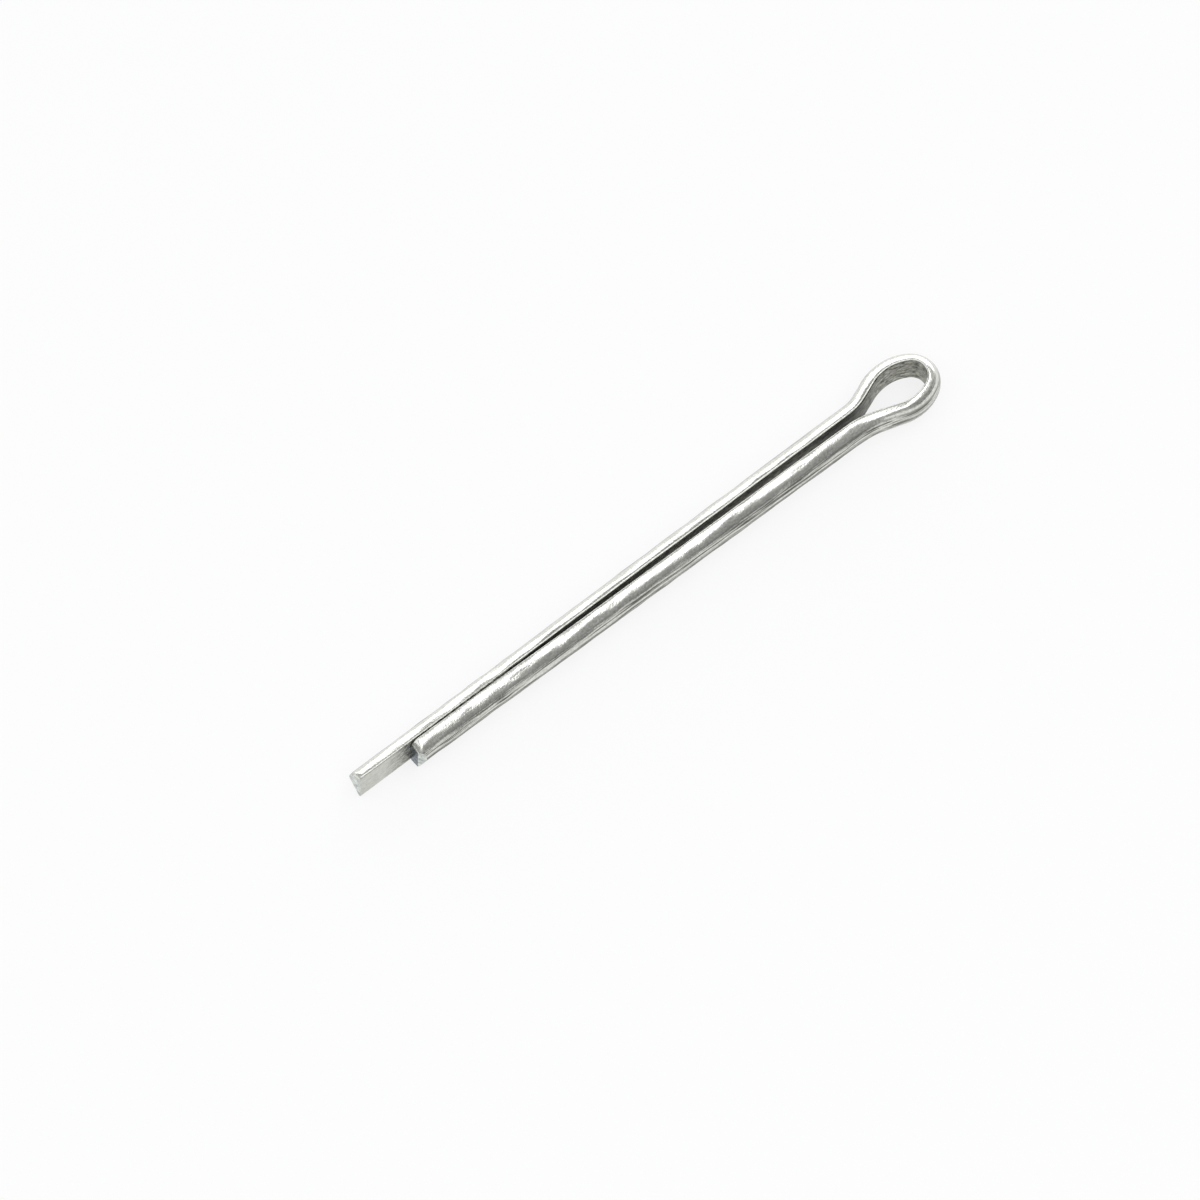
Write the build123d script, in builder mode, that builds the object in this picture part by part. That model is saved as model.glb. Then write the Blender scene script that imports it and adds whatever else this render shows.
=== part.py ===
from build123d import *
from math import atan2, cos, degrees, radians, sin, sqrt, tan
import os

# Cotter pin: half-round steel wire folded in the middle, flat faces inward. Millimetres and degrees.
# +X runs along the shank towards the eye, +Y towards the long leg, +Z is square to the eye's plane.
# The origin is on the shank's axis, under the eye. The wire's path is the line of its flat face.

# Wire: the round side's radius, the depth from flat to round, and the two rounded corners.
# The depth falls short of the radius by half the gap at mid length, so both legs share one round.
round_radius = 1.44
wire_thickness = 1.275
corner_radius = 0.16

# Legs: each length is from the origin to the tip, each gap is between the two flat faces
long_leg_length = 49.4
short_leg_length = 44.35
neck_gap = 0.56
tip_gap = 0.1

# Eye: the distance from the origin to the inside of its end, and how far that lies off the shank's axis
eye_reach = 7.1
eye_shift = -0.07

# Eye, on the long leg's side: end arc, shoulder arc, straight flank and the neck that bends back
long_end_radius = 1.17
long_end_turn = 57.6
long_shoulder_radius = 3.65
long_flank_angle = 21.8
long_neck_radius = 4.7

# Eye, on the short leg's side
short_end_radius = 1.32
short_end_turn = 57.6
short_shoulder_radius = 2.94
short_flank_angle = 20.6
short_neck_radius = 9.2

# Bending stretches the outside of the fold, so the wire is thinner round the eye.
# The shoulders' figures are for the quarter of each shoulder arc that is nearest the end.
long_shoulder_thickness = 1.19
end_thickness = 1.11
short_shoulder_thickness = 0.97
shoulder_station = 0.25

# Sheared tips: the top edge is rolled over and the outer edge is bevelled back
long_roll_radius = 0.35
short_roll_radius = 0.6
bevel_depth = 0.44
long_bevel_length = 0.25
short_bevel_length = 0.5

# Worked out from the sizes above
right_angle = 90
half_chord = sqrt(round_radius**2 - (round_radius - wire_thickness) ** 2)
corner_inset = round_radius - wire_thickness + corner_radius
half_height = corner_radius + sqrt((round_radius - corner_radius) ** 2 - corner_inset**2)
leg_slope = degrees(atan2((neck_gap - tip_gap) / 2, short_leg_length))


def flank_and_run(start_offset, end_radius, end_turn, shoulder_radius, flank_angle, neck_radius):
    """One side of the eye: the flank's length, and how far back from the eye's end the neck begins."""
    turn, flank, slope = radians(end_turn), radians(flank_angle), radians(leg_slope)
    widest = start_offset + end_radius * sin(turn) + shoulder_radius * (cos(flank) - sin(turn))
    neck_drop = neck_radius * (cos(slope) - cos(flank))
    flank_length = (widest - neck_drop - neck_gap / 2) / sin(flank)
    run = end_radius * (1 - cos(turn)) + shoulder_radius * (sin(flank) + cos(turn))
    run += flank_length * cos(flank) + neck_radius * (sin(flank) - sin(slope))
    return flank_length, run


def wire_face(point, heading, thickness):
    """The half-round section square to the path, its flat on the path and its round side outward."""
    place = Plane(origin=point, x_dir=(-heading.Y, heading.X, 0), z_dir=(heading.X, heading.Y, 0))
    with BuildSketch(place) as face:
        with BuildLine():
            outside = ThreePointArc((0, -half_chord), (thickness, 0), (0, half_chord))
            Line(outside @ 1, outside @ 0)
        make_face()
        fillet(face.vertices(), corner_radius)
    return face.sketch


long_flank, long_run = flank_and_run(
    eye_shift,
    long_end_radius,
    long_end_turn,
    long_shoulder_radius,
    long_flank_angle,
    long_neck_radius,
)
short_flank = flank_and_run(
    -eye_shift,
    short_end_radius,
    short_end_turn,
    short_shoulder_radius,
    short_flank_angle,
    short_neck_radius,
)[0]

with BuildPart() as cotter_pin:
    # The eye's path, from the long leg's root round to the short leg's root
    with BuildLine() as eye_path:
        root = (eye_reach - long_run, neck_gap / 2)
        heading = (cos(radians(leg_slope)), sin(radians(leg_slope)))
        long_neck = JernArc(root, heading, long_neck_radius, long_flank_angle - leg_slope)
        long_side = Line(long_neck @ 1, long_neck @ 1 + (long_neck % 1) * long_flank)
        long_shoulder_turn = right_angle + long_flank_angle - long_end_turn
        long_shoulder = JernArc(long_side @ 1, long_side % 1, long_shoulder_radius, -long_shoulder_turn)
        long_end = JernArc(long_shoulder @ 1, long_shoulder % 1, long_end_radius, -long_end_turn)
        short_end = JernArc(long_end @ 1, long_end % 1, short_end_radius, -short_end_turn)
        short_shoulder_turn = right_angle + short_flank_angle - short_end_turn
        short_shoulder = JernArc(short_end @ 1, short_end % 1, short_shoulder_radius, -short_shoulder_turn)
        short_side = Line(short_shoulder @ 1, short_shoulder @ 1 + (short_shoulder % 1) * short_flank)
        short_neck = JernArc(short_side @ 1, short_side % 1, short_neck_radius, short_flank_angle - leg_slope)

    # The eye, swept through sections that thin towards its end
    sections = []
    for arc, station, thickness in (
        (long_neck, 0, wire_thickness),
        (long_shoulder, 1 - shoulder_station, long_shoulder_thickness),
        (long_end, 1, end_thickness),
        (short_shoulder, shoulder_station, short_shoulder_thickness),
        (short_neck, 1, wire_thickness),
    ):
        sections.append(wire_face(arc @ station, arc % station, thickness))
    sweep(sections=sections, path=eye_path.line, multisection=True)

    # The legs, straight from the eye to their tips
    long_root = long_neck @ 0
    short_root = short_neck @ 1
    extrude(wire_face(long_root, long_neck % 0, wire_thickness), amount=-(long_root.X + long_leg_length))
    extrude(wire_face(short_root, short_neck % 1, wire_thickness), amount=short_root.X + short_leg_length)

    # The tips: side is +1 on the long leg and -1 on the short leg
    for side, length, roll_radius, bevel_length in (
        (1, long_leg_length, long_roll_radius, long_bevel_length),
        (-1, short_leg_length, short_roll_radius, short_bevel_length),
    ):
        flat = neck_gap / 2 - length * tan(radians(leg_slope))
        outside = flat + wire_thickness

        # The rolled top edge, drawn from the side and cut outwards from between the legs
        with BuildSketch(Plane.XZ) as roll:
            with Locations((-length, half_height)):
                Rectangle(2 * roll_radius, 2 * roll_radius)
            with Locations((-length + roll_radius, half_height - roll_radius)):
                Circle(roll_radius, mode=Mode.SUBTRACT)
        extrude(amount=-side * 2 * outside, mode=Mode.SUBTRACT)

        # The bevel, drawn from above as a wedge that runs on past the wire
        ridge = side * (outside - bevel_depth)
        past = side * (outside + bevel_depth)
        with BuildSketch(Plane.XY) as bevel:
            with BuildLine():
                Polyline(
                    (-length, ridge),
                    (-length + 2 * bevel_length, past),
                    (-length - bevel_length, past),
                    (-length - bevel_length, ridge),
                    close=True,
                )
            make_face()
        extrude(amount=2 * half_height, both=True, mode=Mode.SUBTRACT)

cotter_pin.part.label = "cotter_pin"

os.makedirs("parts", exist_ok=True)
export_step(cotter_pin.part, "parts/cotter_pin.step")
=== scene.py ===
import math

import bmesh
import bpy
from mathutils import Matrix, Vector, noise


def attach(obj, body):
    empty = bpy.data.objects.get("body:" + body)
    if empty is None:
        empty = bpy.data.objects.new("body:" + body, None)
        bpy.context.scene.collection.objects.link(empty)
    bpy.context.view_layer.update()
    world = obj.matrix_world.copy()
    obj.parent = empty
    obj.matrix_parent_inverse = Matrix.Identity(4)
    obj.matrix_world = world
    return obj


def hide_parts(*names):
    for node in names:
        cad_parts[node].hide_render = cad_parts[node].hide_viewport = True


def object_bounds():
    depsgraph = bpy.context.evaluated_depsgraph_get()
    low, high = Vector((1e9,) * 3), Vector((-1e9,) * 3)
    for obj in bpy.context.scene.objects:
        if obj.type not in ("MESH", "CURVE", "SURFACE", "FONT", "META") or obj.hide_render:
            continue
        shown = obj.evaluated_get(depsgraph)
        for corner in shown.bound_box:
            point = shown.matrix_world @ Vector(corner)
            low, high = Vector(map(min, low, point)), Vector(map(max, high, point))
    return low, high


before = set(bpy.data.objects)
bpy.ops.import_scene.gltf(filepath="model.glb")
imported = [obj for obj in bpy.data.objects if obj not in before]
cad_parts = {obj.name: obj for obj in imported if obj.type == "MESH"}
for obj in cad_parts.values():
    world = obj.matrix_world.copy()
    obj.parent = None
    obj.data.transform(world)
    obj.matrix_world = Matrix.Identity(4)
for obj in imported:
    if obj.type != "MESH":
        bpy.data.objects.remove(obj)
cad_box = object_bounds()

# The cotter pin is made as the real one is: a straight half-round wire, sheared at both ends, then folded.
# The wire is modelled in millimetres, straight along +X with its flat face at Y = 0 and its round side
# towards +Y. Folding puts it in the part's frame, and one last scaling brings it to metres.
MM = 0.001

# Wire section: the round side's radius, the depth from flat to round, and the two rounded corners
ROUND_RADIUS = 1.44
WIRE_THICKNESS = 1.275
CORNER_RADIUS = 0.16

# Legs
LONG_LEG_LENGTH = 49.4
SHORT_LEG_LENGTH = 44.35
NECK_GAP = 0.56
TIP_GAP = 0.1

# Eye: reach and sideways shift of its inner end, then each side's arcs and flank, in mm and degrees
EYE_REACH = 7.1
EYE_SHIFT = -0.07
LONG_SIDE = {"end": 1.17, "end_turn": 57.6, "shoulder": 3.65, "flank_angle": 21.8, "neck": 4.7}
SHORT_SIDE = {"end": 1.32, "end_turn": 57.6, "shoulder": 2.94, "flank_angle": 20.6, "neck": 9.2}

# The wire's depth as the photograph shows it: full in the legs, and thinned by bending round the eye
LEG_THICKNESS = 1.315
LONG_FLANK_THICKNESS = 1.197
END_THICKNESS = 1.11
SHORT_SHOULDER_THICKNESS = 1.0
SHORT_FLANK_THICKNESS = 0.99
SHORT_NECK_THICKNESS = 1.12

# Bending also shifts the flat face, into the eye where this is above zero
LONG_FLANK_SHIFT = 0.05
SHORT_FLANK_SHIFT = -0.08

# Only the outer part of the section thins, so the bright top of the wire keeps its width
THINNING_STARTS = 0.5

# Worked out from the sizes above
ROUND_CENTRE = WIRE_THICKNESS - ROUND_RADIUS
CORNER_HEIGHT = math.sqrt((ROUND_RADIUS - CORNER_RADIUS) ** 2 - (CORNER_RADIUS - ROUND_CENTRE) ** 2)
CORNER_TURN = math.pi - math.atan2(CORNER_HEIGHT, CORNER_RADIUS - ROUND_CENTRE)
ROUND_TURN = 2 * (math.pi - CORNER_TURN)
HALF_HEIGHT = CORNER_HEIGHT + CORNER_RADIUS
LEG_SLOPE = math.atan2((NECK_GAP - TIP_GAP) / 2, SHORT_LEG_LENGTH)

# Mesh steps round the section
FLAT_STEPS = 18
CORNER_STEPS = 8
ROUND_STEPS = 60

# Mesh steps along the wire, in mm: fine over the zone at each tip, and finer round the eye than in the legs
TIP_ZONE = 1.2
TIP_STEP = 0.04
LEG_STEP = 0.22
EYE_STEP = 0.12

# Unevenness left by drawing and rolling the wire: shallow dents, in mm
DENT_DEPTH = 0.065
DENT_LENGTH = 2.2
DENT_WIDTH = 0.6

# Shares of that depth: on average, in broad dents and in small dents
DENT_MEAN = 0.2
BROAD_DENTS = 0.5
SMALL_DENTS = 0.25

# How many times shorter and narrower the small dents are, and how far off the broad ones they are drawn from
SMALL_DENTS_SHORTER = 2
SMALL_DENTS_NARROWER = 1.5
SMALL_DENTS_APART = 7

# The flats touch over the last part of the short leg, and part again after that
CLOSED_LENGTH = 7.5
PARTED_LENGTH = 16
CLOSED_GAP = 0.012

# Sheared tips: the blade rolls the top edge over and drags a burr down at the bottom
LONG_ROLL_RADIUS = 0.45
SHORT_ROLL_RADIUS = 0.6
BURR_LENGTH = 1.1
BURR_PLACE = 0.8
BURR_WIDTH = 0.55
SHORT_BURR = 0.27
LONG_BURR = 0.05

# A face whose normal is this close to a cut's is one that the shear left
SHEARED_FACING = 0.96

# Material slots of the sheared faces. All other faces keep slot 0, the plated steel.
BARE_SLOT = 1
DARK_END_SLOT = 2

# Edges that turn by less than this many degrees are smooth
SMOOTH_ANGLE = 35

# Straight pieces that each step of the fold's line is divided into
FOLD_RESOLUTION = 64


def edit_mesh(piece, mode):
    """Opens the piece in edit mode, in one select mode, with nothing selected."""
    bpy.context.view_layer.objects.active = piece
    if piece.mode != "EDIT":
        bpy.ops.object.select_all(action="DESELECT")
        piece.select_set(True)
        bpy.ops.object.mode_set(mode="EDIT")
    bpy.ops.mesh.select_mode(type=mode)
    bpy.ops.mesh.select_all(action="DESELECT")


def pick_edges(piece, wanted):
    """Selects the piece's edges for which wanted() is true, and nothing else."""
    edit_mesh(piece, "EDGE")
    mesh = bmesh.from_edit_mesh(piece.data)
    for edge in mesh.edges:
        if wanted(edge):
            edge.select_set(True)
    mesh.select_flush_mode()
    bmesh.update_edit_mesh(piece.data)


def flank_and_run(start_offset, side):
    """One side of the eye: the flank's length, and how far back from the eye's end the neck begins."""
    turn, flank = math.radians(side["end_turn"]), math.radians(side["flank_angle"])
    widest = start_offset + side["end"] * math.sin(turn)
    widest += side["shoulder"] * (math.cos(flank) - math.sin(turn))
    neck_drop = side["neck"] * (math.cos(LEG_SLOPE) - math.cos(flank))
    flank_length = (widest - neck_drop - NECK_GAP / 2) / math.sin(flank)
    run = side["end"] * (1 - math.cos(turn)) + side["shoulder"] * (math.sin(flank) + math.cos(turn))
    run += flank_length * math.cos(flank) + side["neck"] * (math.sin(flank) - math.sin(LEG_SLOPE))
    return flank_length, run


def half_eye(name, start_offset, side):
    """One side of the eye from its neck to its end, as the fold's steps: (name, length, turn to the left)."""
    flank_length, _ = flank_and_run(start_offset, side)
    neck_turn = math.radians(side["flank_angle"]) - LEG_SLOPE
    end_turn = math.radians(side["end_turn"])
    shoulder_turn = math.pi / 2 + math.radians(side["flank_angle"]) - end_turn
    return [
        (name + " neck", side["neck"] * neck_turn, neck_turn),
        (name + " flank", flank_length, 0),
        (name + " shoulder", side["shoulder"] * shoulder_turn, -shoulder_turn),
        (name + " end", side["end"] * end_turn, -end_turn),
    ]


LONG_ROOT = EYE_REACH - flank_and_run(EYE_SHIFT, LONG_SIDE)[1]
SHORT_ROOT = EYE_REACH - flank_and_run(-EYE_SHIFT, SHORT_SIDE)[1]
FOLD = [
    ("long leg", LONG_LEG_LENGTH + LONG_ROOT, 0),
    *half_eye("long", EYE_SHIFT, LONG_SIDE),
    *reversed(half_eye("short", -EYE_SHIFT, SHORT_SIDE)),
    ("short leg", SHORT_LEG_LENGTH + SHORT_ROOT, 0),
]
WIRE_LENGTH = sum(length for _, length, _ in FOLD)


def station(name, share=0.0):
    """How far along the straight wire a step of the fold begins, or a share of its length further."""
    along = 0
    for step, length, _ in FOLD:
        if step == name:
            return along + share * length
        along += length
    raise KeyError(name)


# The wire's depth and the shift of its flat face, at places along it
THINNING = (
    (0, LEG_THICKNESS),
    (station("long neck"), LEG_THICKNESS),
    (station("long flank"), LONG_FLANK_THICKNESS),
    (station("long shoulder", 0.5), LONG_FLANK_THICKNESS),
    (station("short end"), END_THICKNESS),
    (station("short shoulder", 0.5), SHORT_SHOULDER_THICKNESS),
    (station("short flank"), SHORT_FLANK_THICKNESS),
    (station("short neck"), SHORT_NECK_THICKNESS),
    (station("short leg"), LEG_THICKNESS),
    (WIRE_LENGTH, LEG_THICKNESS),
)
FLAT_SHIFT = (
    (0, 0),
    (station("long neck"), 0),
    (station("long flank"), LONG_FLANK_SHIFT),
    (station("long shoulder", 0.2), LONG_FLANK_SHIFT),
    (station("long shoulder", 0.8), 0),
    (station("short shoulder", 0.5), 0),
    (station("short flank"), SHORT_FLANK_SHIFT),
    (station("short neck"), SHORT_FLANK_SHIFT),
    (station("short leg"), 0),
    (WIRE_LENGTH, 0),
)

# Bevels that the shear left on the tips: a point on each cut, and the way that the cut faces
LONG_BEVEL = (Vector((0, 0.3, -1.25)), Vector((-0.68, 0.56, -0.48)))
SHORT_BEVEL = (Vector((WIRE_LENGTH, 0.8, 0)), Vector((0.7, 0.72, 0)))


def draw_section():
    """The half-round section at X = 0: the flat is drawn up, then each arc is spun on from its end."""
    bpy.ops.object.select_all(action="DESELECT")
    bpy.ops.mesh.primitive_plane_add(size=1, location=(0, 0, 0))
    wire = bpy.context.active_object
    wire.name = "folded_wire"
    edit_mesh(wire, "VERT")
    bpy.ops.mesh.select_all(action="SELECT")
    bpy.ops.mesh.merge(type="CENTER")
    bpy.ops.transform.translate(value=(0, 0, -CORNER_HEIGHT))
    for _ in range(FLAT_STEPS):
        bpy.ops.mesh.extrude_region_move(
            TRANSFORM_OT_translate={"value": (0, 0, 2 * CORNER_HEIGHT / FLAT_STEPS)}
        )
    for steps, turn, centre in (
        (CORNER_STEPS, CORNER_TURN, (0, CORNER_RADIUS, CORNER_HEIGHT)),
        (ROUND_STEPS, ROUND_TURN, (0, ROUND_CENTRE, 0)),
        (CORNER_STEPS, CORNER_TURN, (0, CORNER_RADIUS, -CORNER_HEIGHT)),
    ):
        bpy.ops.mesh.spin(steps=steps, angle=turn, center=centre, axis=(1, 0, 0))
    bpy.ops.mesh.select_all(action="SELECT")
    bpy.ops.mesh.remove_doubles(threshold=CORNER_RADIUS / 100)
    return wire


def draw_out(wire, length, step):
    """Draws the section out by one more stretch and divides that stretch into rings about a step apart."""
    mesh = bmesh.from_edit_mesh(wire.data)
    start = max(vertex.co.x for vertex in mesh.verts)
    pick_edges(wire, lambda edge: min(v.co.x for v in edge.verts) > start - step / 100)
    bpy.ops.mesh.extrude_region_move(TRANSFORM_OT_translate={"value": (length, 0, 0)})
    rings = round(length / step)
    fewer = math.isqrt(rings)
    for cuts, span in ((fewer - 1, length), (math.ceil(rings / fewer) - 1, length / fewer)):
        pick_edges(
            wire,
            lambda edge: edge.verts[0].co.x + edge.verts[1].co.x > 2 * start
            and abs(edge.verts[0].co.x - edge.verts[1].co.x) > span / 2,
        )
        bpy.ops.mesh.subdivide(number_cuts=cuts)


def smooth_step(share):
    """An even blend from 0 to 1, level at both ends and held there beyond them."""
    share = min(max(share, 0), 1)
    return share * share * (3 - 2 * share)


def level_at(line, along):
    """The height of a smooth line through (place, height) pairs, at a place. It never overshoots them."""
    slopes = [(b[1] - a[1]) / (b[0] - a[0]) for a, b in zip(line, line[1:])]
    tangents = [2 * a * b / (a + b) if a * b > 0 else 0 for a, b in zip(slopes, slopes[1:])]
    tangents = [0, *tangents, 0]
    for index, (before, after) in enumerate(zip(line, line[1:])):
        if along <= after[0]:
            break
    span = after[0] - before[0]
    t = min(max((along - before[0]) / span, 0), 1)
    blend = smooth_step(t)
    lift = span * (t * (1 - t) ** 2 * tangents[index] - t * t * (1 - t) * tangents[index + 1])
    return before[1] * (1 - blend) + after[1] * blend + lift


def dent(place):
    """How deep the surface lies under the true round at a place on the straight wire."""
    x, y, z = place.x / DENT_LENGTH, place.y / DENT_WIDTH, place.z / DENT_WIDTH
    broad = noise.noise(Vector((x, y, z)))
    x, y, z = x * SMALL_DENTS_SHORTER, y * SMALL_DENTS_NARROWER, z * SMALL_DENTS_NARROWER
    small = noise.noise(Vector((x, y, z + SMALL_DENTS_APART)))
    return DENT_DEPTH * (DENT_MEAN + BROAD_DENTS * broad + SMALL_DENTS * small)


def closing_at(from_short_tip):
    """How far each flat moves towards the other, at a distance from the short leg's tip."""
    reach = max(from_short_tip, 0)
    half_gap = (TIP_GAP + (NECK_GAP - TIP_GAP) * reach / SHORT_LEG_LENGTH) / 2
    parted = smooth_step((reach - CLOSED_LENGTH) / (PARTED_LENGTH - CLOSED_LENGTH))
    return (half_gap - CLOSED_GAP / 2) * (1 - parted)


def shear_tip(place, from_tip, roll_radius, burr):
    """Moves a place near a tip: the top edge is rolled over and the bottom edge is dragged down."""
    if from_tip < roll_radius:
        roll = (1 - from_tip / roll_radius) * math.pi / 2
        from_tip = roll_radius * (1 - math.sin(roll))
        if place.z > 0:
            place.z *= 1 - roll_radius / HALF_HEIGHT * (1 - math.cos(roll))
    if place.z < 0:
        dragged = smooth_step(1 - from_tip / BURR_LENGTH)
        dragged *= math.exp(-(((place.y - BURR_PLACE) / BURR_WIDTH) ** 2))
        place.z = max(place.z * (1 + burr * dragged), -HALF_HEIGHT)
    return from_tip


def shape_wire(wire):
    """Thins the wire where the eye will be, dents its round side, presses the flats and shears the tips."""
    for vertex in wire.data.vertices:
        place = vertex.co.copy()
        outward = Vector((0, place.y - ROUND_CENTRE, place.z)).normalized()
        on_round = smooth_step(place.y / CORNER_RADIUS)
        place -= outward * dent(place) * on_round
        on_flat = 1 - place.y / WIRE_THICKNESS
        squeeze = (WIRE_THICKNESS - level_at(THINNING, place.x)) / (WIRE_THICKNESS - THINNING_STARTS)
        place.y -= squeeze * max(place.y - THINNING_STARTS, 0)
        place.y -= on_flat * level_at(FLAT_SHIFT, place.x)
        if place.x < WIRE_LENGTH / 2:
            place.y -= on_flat * closing_at(place.x - LONG_LEG_LENGTH + SHORT_LEG_LENGTH)
            place.x = shear_tip(place, place.x, LONG_ROLL_RADIUS, LONG_BURR)
        else:
            place.y -= on_flat * closing_at(WIRE_LENGTH - place.x)
            place.x = WIRE_LENGTH - shear_tip(place, WIRE_LENGTH - place.x, SHORT_ROLL_RADIUS, SHORT_BURR)
        vertex.co = place


def bevel_tips(wire):
    """Cuts the bevel off each tip and closes the cut."""
    for point, facing in (LONG_BEVEL, SHORT_BEVEL):
        edit_mesh(wire, "VERT")
        bpy.ops.mesh.select_all(action="SELECT")
        bpy.ops.mesh.bisect(
            plane_co=point, plane_no=facing, use_fill=True, clear_outer=True, threshold=TIP_STEP / 100
        )
    bpy.ops.object.mode_set(mode="OBJECT")


def finish_tips(wire):
    """Gives the faces that the shear left their finish: dark blue-grey on the short leg's end, and bare
    elsewhere.
    """
    bare_cuts = [Vector((-1, 0, 0)), LONG_BEVEL[1].normalized(), SHORT_BEVEL[1].normalized()]
    for face in wire.data.polygons:
        if face.normal.x > SHEARED_FACING:
            face.material_index = DARK_END_SLOT
        if max(face.normal.dot(cut) for cut in bare_cuts) > SHEARED_FACING:
            face.material_index = BARE_SLOT


def fold_line():
    """The flat face's line through the folded pin: a Bezier curve with one point between every two steps.
    A handle of 4/3 tan(turn/4) radii on each side draws a step that turns as a round arc."""
    curve = bpy.data.curves.new("fold_line", "CURVE")
    curve.dimensions = "2D"
    curve.resolution_u = FOLD_RESOLUTION
    spline = curve.splines.new("BEZIER")
    spline.bezier_points.add(len(FOLD))
    place = Vector((LONG_ROOT, NECK_GAP / 2, 0))
    heading = LEG_SLOPE
    place -= FOLD[0][1] * Vector((math.cos(heading), math.sin(heading), 0))
    reach_before = 0
    for point, (_, length, turn) in zip(spline.bezier_points, FOLD + [("tip", 0, 0)]):
        direction = Vector((math.cos(heading), math.sin(heading), 0))
        reach = 4 / 3 * math.tan(abs(turn) / 4) * length / abs(turn) if turn else length / 3
        point.handle_left_type = point.handle_right_type = "FREE"
        point.co = place
        point.handle_left = place - direction * reach_before
        point.handle_right = place + direction * reach
        chord = length * math.sin(turn / 2) / (turn / 2) if turn else length
        place += chord * Vector((math.cos(heading + turn / 2), math.sin(heading + turn / 2), 0))
        heading += turn
        reach_before = reach
    line = bpy.data.objects.new("fold_line", curve)
    bpy.context.scene.collection.objects.link(line)
    return line


def fold_wire(wire):
    """Bends the straight wire along the fold's line."""
    line = fold_line()
    fold = wire.modifiers.new("fold", "CURVE")
    fold.object = line
    fold.deform_axis = "POS_X"
    bpy.context.view_layer.objects.active = wire
    bpy.ops.object.modifier_apply(modifier=fold.name)
    bpy.data.objects.remove(line)


def make_pin():
    wire = draw_section()
    eye_start, eye_end = station("long neck"), station("short leg")
    for length, step in (
        (TIP_ZONE, TIP_STEP),
        (eye_start - TIP_ZONE, LEG_STEP),
        (eye_end - eye_start, EYE_STEP),
        (WIRE_LENGTH - eye_end - TIP_ZONE, LEG_STEP),
        (TIP_ZONE, TIP_STEP),
    ):
        draw_out(wire, length, step)
    for end in (0, WIRE_LENGTH):
        pick_edges(wire, lambda edge: max(abs(v.co.x - end) for v in edge.verts) < TIP_STEP / 10)
        bpy.ops.mesh.edge_face_add()
    bpy.ops.mesh.select_all(action="SELECT")
    bpy.ops.mesh.normals_make_consistent(inside=False)
    bpy.ops.object.mode_set(mode="OBJECT")
    shape_wire(wire)
    bevel_tips(wire)
    finish_tips(wire)

    # The finishes follow the wire as it lay before the fold, in mm
    places = wire.data.attributes.new("wire_place", "FLOAT_VECTOR", "POINT")
    for vertex in wire.data.vertices:
        places.data[vertex.index].vector = vertex.co

    fold_wire(wire)
    edit_mesh(wire, "VERT")
    bpy.ops.mesh.select_all(action="SELECT")
    bpy.ops.transform.resize(value=(MM, MM, MM), center_override=(0, 0, 0))
    bpy.ops.object.mode_set(mode="OBJECT")
    bpy.ops.object.select_all(action="DESELECT")
    wire.select_set(True)
    bpy.ops.object.shade_smooth_by_angle(angle=math.radians(SMOOTH_ANGLE))
    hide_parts("cotter_pin")
    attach(wire, "root")
    return wire


def linear(code):
    """An sRGB hex colour as the linear colour that a socket takes."""
    parts = [int(code[i : i + 2], 16) / 255 for i in (0, 2, 4)]
    return [c / 12.92 if c <= 0.04045 else ((c + 0.055) / 1.055) ** 2.4 for c in parts] + [1]


def add(tree, kind, inputs=None, **settings):
    """Adds a node with its settings. An input is a value, or the socket that feeds it."""
    node = tree.nodes.new(kind)
    for name, value in settings.items():
        setattr(node, name, value)
    for name, value in (inputs or {}).items():
        if isinstance(value, bpy.types.NodeSocket):
            tree.links.new(value, node.inputs[name])
        else:
            node.inputs[name].default_value = value
    return node


def new_material(name):
    material = bpy.data.materials.new(name)
    material.use_nodes = True
    material.node_tree.nodes.clear()
    return material, material.node_tree


def calculate(tree, operation, first, second=0.0):
    """One Math node's result."""
    return add(tree, "ShaderNodeMath", {0: first, 1: second}, operation=operation).outputs["Value"]


def ranged(tree, value, start, end, low=0.0, high=1.0):
    """A value spread from start and end to low and high, and held there beyond them."""
    limits = {"From Min": start, "From Max": end, "To Min": low, "To Max": high}
    return add(tree, "ShaderNodeMapRange", {"Value": value, **limits}).outputs["Result"]


def along_line(tree, value, line, start, end):
    """The height of a line of (place, height) pairs, at a value between start and end."""
    levels = add(tree, "ShaderNodeValToRGB", {"Fac": ranged(tree, value, start, end)})
    for _ in line[2:]:
        levels.color_ramp.elements.new(0.5)
    for stop, (place, height) in zip(levels.color_ramp.elements, line):
        stop.position = (place - start) / (end - start)
        stop.color = (height, height, height, 1)
    return levels.outputs["Color"]


def blended(tree, share, first, second):
    """From the first colour to the second by a share. A colour is a hex code or a socket."""
    colours = [linear(c) if isinstance(c, str) else c for c in (first, second)]
    mix = add(tree, "ShaderNodeMix", {"Factor": share, 6: colours[0], 7: colours[1]}, data_type="RGBA")
    return mix.outputs[2]


def noise_of(tree, spot, stretch=(1, 1, 1), **settings):
    """Noise over the wire. The stretch is how many times it repeats in a millimetre along each way."""
    mapped = add(tree, "ShaderNodeMapping", {"Vector": spot, "Scale": stretch})
    return add(tree, "ShaderNodeTexNoise", {"Vector": mapped.outputs["Vector"], **settings}).outputs["Fac"]


def wire_spot(tree):
    """The place on the straight wire in mm, as the mesh carries it."""
    place = add(tree, "ShaderNodeAttribute", attribute_name="wire_place", attribute_type="GEOMETRY")
    return place.outputs["Vector"]


# How scratched and how shaded the round side is, by height above its middle in mm.
# The scratch band also carries painted shade, and the second band is painted shade only.
SCRATCH_AND_SHADE_BANDS = ((-0.9, 0), (-0.5, 1), (0.1, 1), (0.17, 0.3), (0.26, 0.3), (0.33, 1), (0.6, 1), (0.95, 0))
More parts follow.
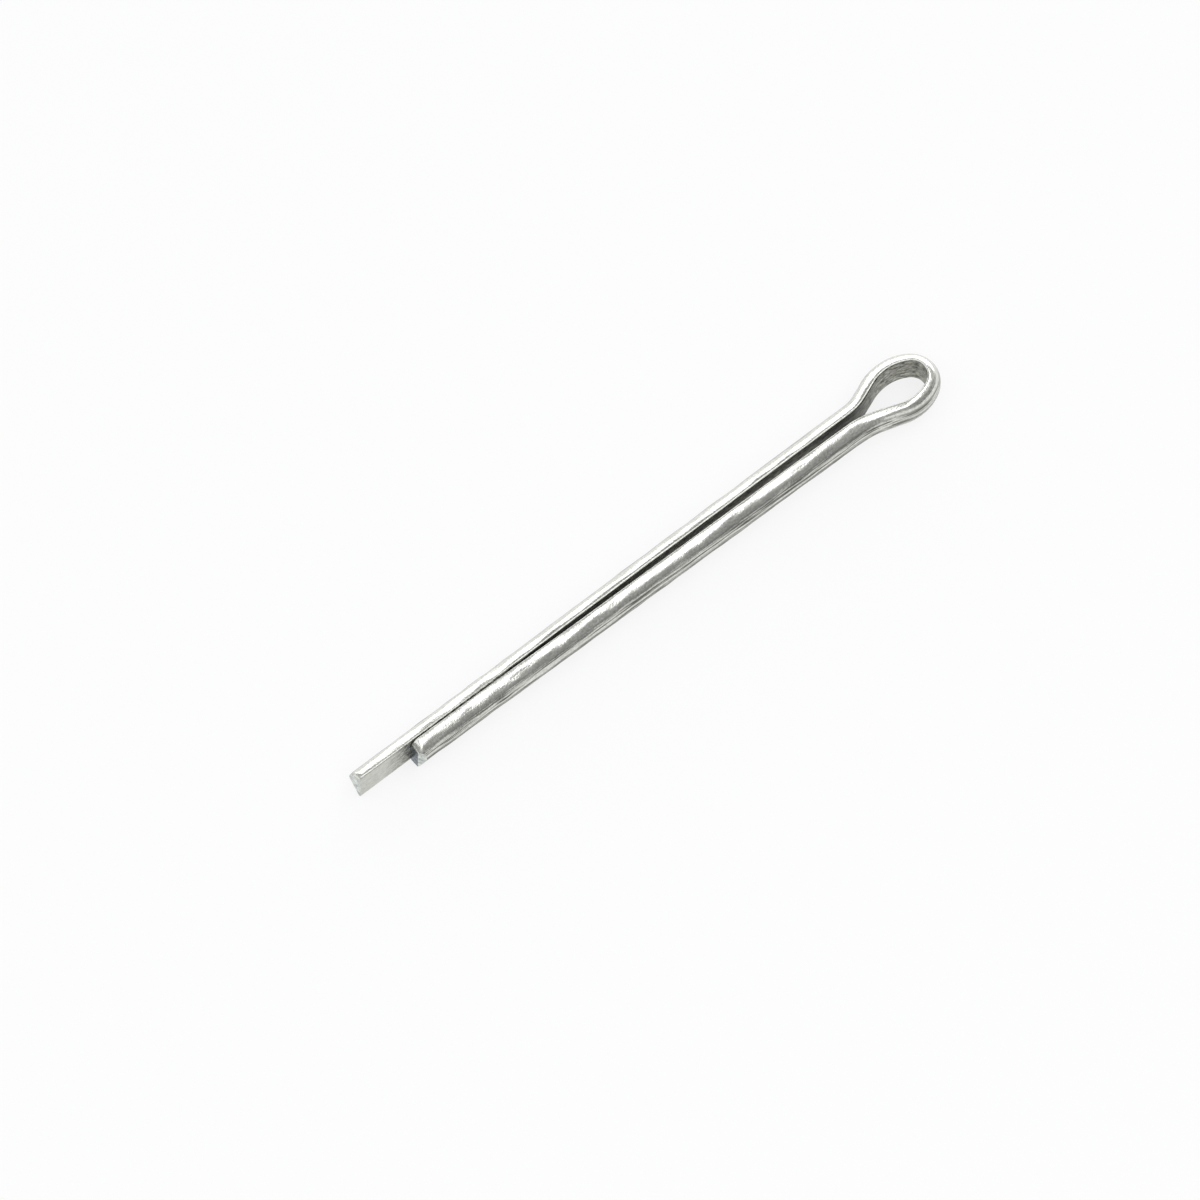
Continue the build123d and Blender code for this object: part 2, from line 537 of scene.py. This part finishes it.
# The second band is painted shade: the pin's contact shadow as the metal would reflect it
CONTACT_SHADE_BAND = ((-0.45, 0), (-0.22, 1), (0.02, 1), (0.18, 0))

# Bumps are this deep before their strength
BUMP_DEPTH = 0.1 * MM


def zinc_plated_drawn_steel():
    """Bright zinc plate on drawn steel wire. It gives the eye a clean white band on a soft mirror of greys,
    with fine dark lines along the wire that are partly painted shade, dull mottled flats darkened by painted
    shade, and a band of painted shade low on the short leg's side."""
    material, tree = new_material("zinc_plated_drawn_steel_wire")
    spot = wire_spot(tree)
    parts = add(tree, "ShaderNodeSeparateXYZ", {"Vector": spot})
    along, from_flat, height = (parts.outputs[axis] for axis in "XYZ")

    # Lines from the die: 0.1 to 0.2 mm wide and some millimetres long
    lines = noise_of(tree, spot, (0.2, 8.5, 8.5), Scale=1.0, Detail=3.0)
    # Grain of the plate: specks of 0.15 mm. The real grain is finer, and wouldn't show.
    specks = noise_of(tree, spot, Scale=6.0, Detail=3.0, Roughness=0.65)
    # Patches of a millimetre or so, where the plate is a little duller
    patches = noise_of(tree, spot, (0.5, 1.4, 1.4), Scale=1.0, Detail=4.0)
    # Mottling of the pressed flats: 0.5 mm long and 0.25 mm wide
    mottling = noise_of(tree, spot, (1.7, 3.6, 3.6), Scale=1.0, Detail=5.0, Roughness=0.75)

    # The die left thin dark lines along the round. Laid on most over its sides, they are partly painted shade
    # there, and one band is left bare as a painted reflection of a light line.
    scratch_and_shade_band = along_line(tree, height, SCRATCH_AND_SHADE_BANDS, -1.5, 1.5)
    scratch_and_shade_marks = calculate(tree, "MULTIPLY", scratch_and_shade_band, ranged(tree, lines, 0.45, 0.56, 1.0, 0.1))
    grain = blended(tree, ranged(tree, specks, 0.36, 0.64), "CCCCC6", "EEEEE8")
    lined_steel_and_shade = blended(tree, scratch_and_shade_marks, grain, "64645F")

    # Painted shade: a dark band in the lines low on the short leg's side, standing in for the pin's contact
    # shadow seen in the metal. It fades towards the eye
    contact_shade = along_line(tree, height, CONTACT_SHADE_BAND, -1.5, 1.5)
    contact_shade = calculate(tree, "MULTIPLY", contact_shade, ranged(tree, lines, 0.56, 0.44, 0.45, 1.0))
    leg_share = ranged(tree, along, station("short neck"), station("short leg") + 2, 0.25, 1.0)
    round_steel = blended(tree, calculate(tree, "MULTIPLY", contact_shade, leg_share), lined_steel_and_shade, "4A4A45")

    # The flats were pressed together and not polished by the die, so they are dull and mottled; their colour
    # is also darkened as painted shade for the gap between the legs. More painted shade darkens the crotch of
    # the eye.
    # Past the short tip, where the other leg no longer shades the flat, it is painted lighter, as lit.
    mottled_and_shaded = blended(tree, ranged(tree, mottling, 0.38, 0.64), "3C3C37", "C4C4BA")
    from_neck = calculate(tree, "ABSOLUTE", calculate(tree, "SUBTRACT", along, station("long neck")))
    crotch_shaded = blended(tree, ranged(tree, from_neck, 1.5, 4.0, 0.75, 0.0), mottled_and_shaded, "3A3A34")
    flat_finish_and_shade = blended(tree, ranged(tree, along, 5.0, 2.5, 0.0, 0.75), crotch_shaded, "DCDCD6")
    steel = blended(tree, ranged(tree, from_flat, 0.04, 0.01), round_steel, flat_finish_and_shade)

    # The rounded corners are duller than the round
    polish = ranged(tree, patches, 0.3, 0.7, 0.12, 0.2)
    roughness = ranged(tree, from_flat, 0.2, 0.06, polish, 0.42)

    grooves = calculate(tree, "MULTIPLY", lines, ranged(tree, scratch_and_shade_band, 0.0, 1.0, 0.15, 1.0))
    line_bump = add(tree, "ShaderNodeBump", {"Height": grooves, "Strength": 0.35, "Distance": BUMP_DEPTH})
    speck_bump = add(
        tree,
        "ShaderNodeBump",
        {"Height": specks, "Strength": 0.15, "Distance": BUMP_DEPTH, "Normal": line_bump.outputs["Normal"]},
    )
    bumps = speck_bump.outputs["Normal"]
    inputs = {"Base Color": steel, "Metallic": 1.0, "Roughness": roughness, "Normal": bumps}
    shader = add(tree, "ShaderNodeBsdfPrincipled", inputs)
    add(tree, "ShaderNodeOutputMaterial", {"Surface": shader.outputs["BSDF"]})
    return material


def sheared_steel(name, dark, light, roughness):
    """Steel that the shear tore rather than cut. It gives the eye small matt faces at the tips, light where
    they are bare and dark blue-grey on the short leg's end, with streaks a few tenths of a millimetre wide."""
    material, tree = new_material(name)
    streaks = noise_of(tree, wire_spot(tree), Scale=2.6, Detail=3.0, Distortion=0.8)
    steel = blended(tree, ranged(tree, streaks, 0.35, 0.65), dark, light)
    tears = add(tree, "ShaderNodeBump", {"Height": streaks, "Strength": 0.4, "Distance": BUMP_DEPTH})
    inputs = {"Base Color": steel, "Metallic": 1.0, "Roughness": roughness, "Normal": tears.outputs["Normal"]}
    shader = add(tree, "ShaderNodeBsdfPrincipled", inputs)
    add(tree, "ShaderNodeOutputMaterial", {"Surface": shader.outputs["BSDF"]})
    return material


# How far the paper is plain white to the camera and in the metal. The rest shows the pin's shadow.
PAPER_WHITE = 0.8


def white_paper():
    """White sweep paper. It gives the eye a pale floor with a faint soft shadow."""
    material, tree = new_material("white_sweep_paper")
    paper = add(tree, "ShaderNodeBsdfDiffuse", {"Color": linear("F7F7F7")})
    white = add(tree, "ShaderNodeEmission", {"Color": linear("FFFFFF"), "Strength": 1.0})
    path = add(tree, "ShaderNodeLightPath")
    seen = calculate(tree, "MAXIMUM", path.outputs["Is Camera Ray"], path.outputs["Is Glossy Ray"])
    seen = calculate(tree, "MAXIMUM", seen, path.outputs["Is Transmission Ray"])
    share = calculate(tree, "MULTIPLY", seen, PAPER_WHITE)
    inputs = {"Fac": share, 1: paper.outputs["BSDF"], 2: white.outputs["Emission"]}
    shader = add(tree, "ShaderNodeMixShader", inputs)
    add(tree, "ShaderNodeOutputMaterial", {"Surface": shader.outputs["Shader"]})
    return material


# The paper's size in metres
FLOOR_SIZE = 6


def make_floor():
    """A sheet of paper under the pin, at the height of its underside."""
    bpy.ops.object.select_all(action="DESELECT")
    bpy.ops.mesh.primitive_plane_add(size=FLOOR_SIZE, location=(0, 0, cad_box[0].z))
    floor = bpy.context.active_object
    floor.name = "floor"
    floor.data.materials.append(white_paper())


# The photograph looks down at 61 degrees with the shank running up to the right, through a long lens
VIEW_TURN = math.radians(-40.15)
VIEW_ELEVATION = math.radians(60.99)
VIEW_WIDTH = 92.14 * MM
VIEW_CENTRE = Vector((-24.76, 0.74, 0)) * MM
LENS = 1200
SENSOR = 36
CLIP_START = 0.01


def make_camera():
    """Makes the camera, and gives the level way that it looks."""
    back = Vector(
        (
            math.sin(VIEW_TURN) * math.cos(VIEW_ELEVATION),
            -math.cos(VIEW_TURN) * math.cos(VIEW_ELEVATION),
            math.sin(VIEW_ELEVATION),
        )
    )
    data = bpy.data.cameras.new("camera")
    data.lens = LENS
    data.sensor_width = SENSOR
    distance = VIEW_WIDTH * LENS / SENSOR
    data.clip_start, data.clip_end = CLIP_START, distance * 10
    camera = bpy.data.objects.new("camera", data)
    camera.location = VIEW_CENTRE + back * distance
    camera.rotation_mode = "QUATERNION"
    camera.rotation_quaternion = (-back).to_track_quat("-Z", "Y")
    bpy.context.scene.collection.objects.link(camera)
    bpy.context.scene.camera = camera
    return Vector((-back.x, -back.y, 0)).normalized()


# The softboxes hang this far above the pin, in metres, and are a little cooler than the room
SOFTBOX_HEIGHT = 0.6
SOFTBOX_TINT = (0.97, 0.985, 1.0)


def make_softbox(name, forward, right, near, far, left_edge, right_edge, level):
    """A softbox overhead. Near, far, left and right are as the camera sees them, in metres from the pin."""
    width, length = right_edge - left_edge, far - near
    data = bpy.data.lights.new(name, "AREA")
    data.shape = "RECTANGLE"
    data.size, data.size_y = width, length
    data.energy = level * math.pi * width * length
    data.color = SOFTBOX_TINT
    lamp = bpy.data.objects.new(name, data)
    middle = forward * (near + far) / 2 + right * (left_edge + right_edge) / 2
    lamp.location = middle + Vector((0, 0, SOFTBOX_HEIGHT))
    lamp.rotation_euler = (0, 0, math.atan2(forward.y, forward.x) - math.pi / 2)
    lamp.visible_camera = False
    bpy.context.scene.collection.objects.link(lamp)


# The room's light, from the bright left (-1) over the top (0) to the dim side of the room (1)
ROOM_LIGHT = ((-1, 0.7), (-0.4, 0.42), (0, 0.58), (0.6, 0.78), (0.76, 0.56), (0.9, 0.4), (1, 0.36))

# The dim side lies this far to the camera's right, and this far back towards the camera
ROOM_RIGHT = 0.94
ROOM_BACK = 0.34

# The glow behind the pin: its level, how steeply its top edge slopes, and where that edge and its sides fade
GLOW_LEVEL = 2.0
GLOW_DROP = 0.9
GLOW_TOP = (0.29, 0.43)
GLOW_SIDES = (0.58, 0.72)


def share_towards(tree, way, direction):
    """How far a direction of the world points along a vector."""
    dot = add(tree, "ShaderNodeVectorMath", {0: way, 1: direction}, operation="DOT_PRODUCT")
    return dot.outputs["Value"]


def make_world(forward, right):
    """A white cove: bright low down behind the pin, dim to the camera's right, and white to the camera."""
    world = bpy.data.worlds.new("studio")
    bpy.context.scene.world = world
    world.use_nodes = True
    tree = world.node_tree
    tree.nodes.clear()
    way = add(tree, "ShaderNodeTexCoord").outputs["Generated"]
    across = share_towards(tree, way, right * ROOM_RIGHT - forward * ROOM_BACK)
    room = along_line(tree, across, ROOM_LIGHT, -1.0, 1.0)
    low = share_towards(tree, way, forward - Vector((0, 0, GLOW_DROP)))
    glow = ranged(tree, low, *GLOW_TOP, 0.0, GLOW_LEVEL)
    behind = ranged(tree, share_towards(tree, way, forward), *GLOW_SIDES)
    level = calculate(tree, "ADD", room, calculate(tree, "MULTIPLY", glow, behind))
    path = add(tree, "ShaderNodeLightPath")
    strength = ranged(tree, path.outputs["Is Camera Ray"], 0.0, 1.0, level, 1.0)
    sky = add(tree, "ShaderNodeBackground", {"Strength": strength})
    add(tree, "ShaderNodeOutputWorld", {"Surface": sky.outputs["Background"]})


pin = make_pin()
pin.data.materials.append(zinc_plated_drawn_steel())
pin.data.materials.append(sheared_steel("bare_sheared_steel", "A8AEAA", "E2E6E2", 0.3))
pin.data.materials.append(sheared_steel("dark_sheared_steel", "565E66", "7C868E", 0.25))
make_floor()
forward = make_camera()
right = forward.cross(Vector((0, 0, 1)))

# A long strip draws the bright band on the near leg, and a fill on the left draws the curls on the tips
make_softbox(
    "strip_softbox", forward, right, near=-0.8, far=0.6, left_edge=0.18, right_edge=0.405, level=2.0
)
make_softbox(
    "fill_softbox", forward, right, near=-0.45, far=0.2, left_edge=-1.0, right_edge=0.05, level=0.85
)
make_world(forward, right)
bpy.context.scene.view_settings.view_transform = "Standard"
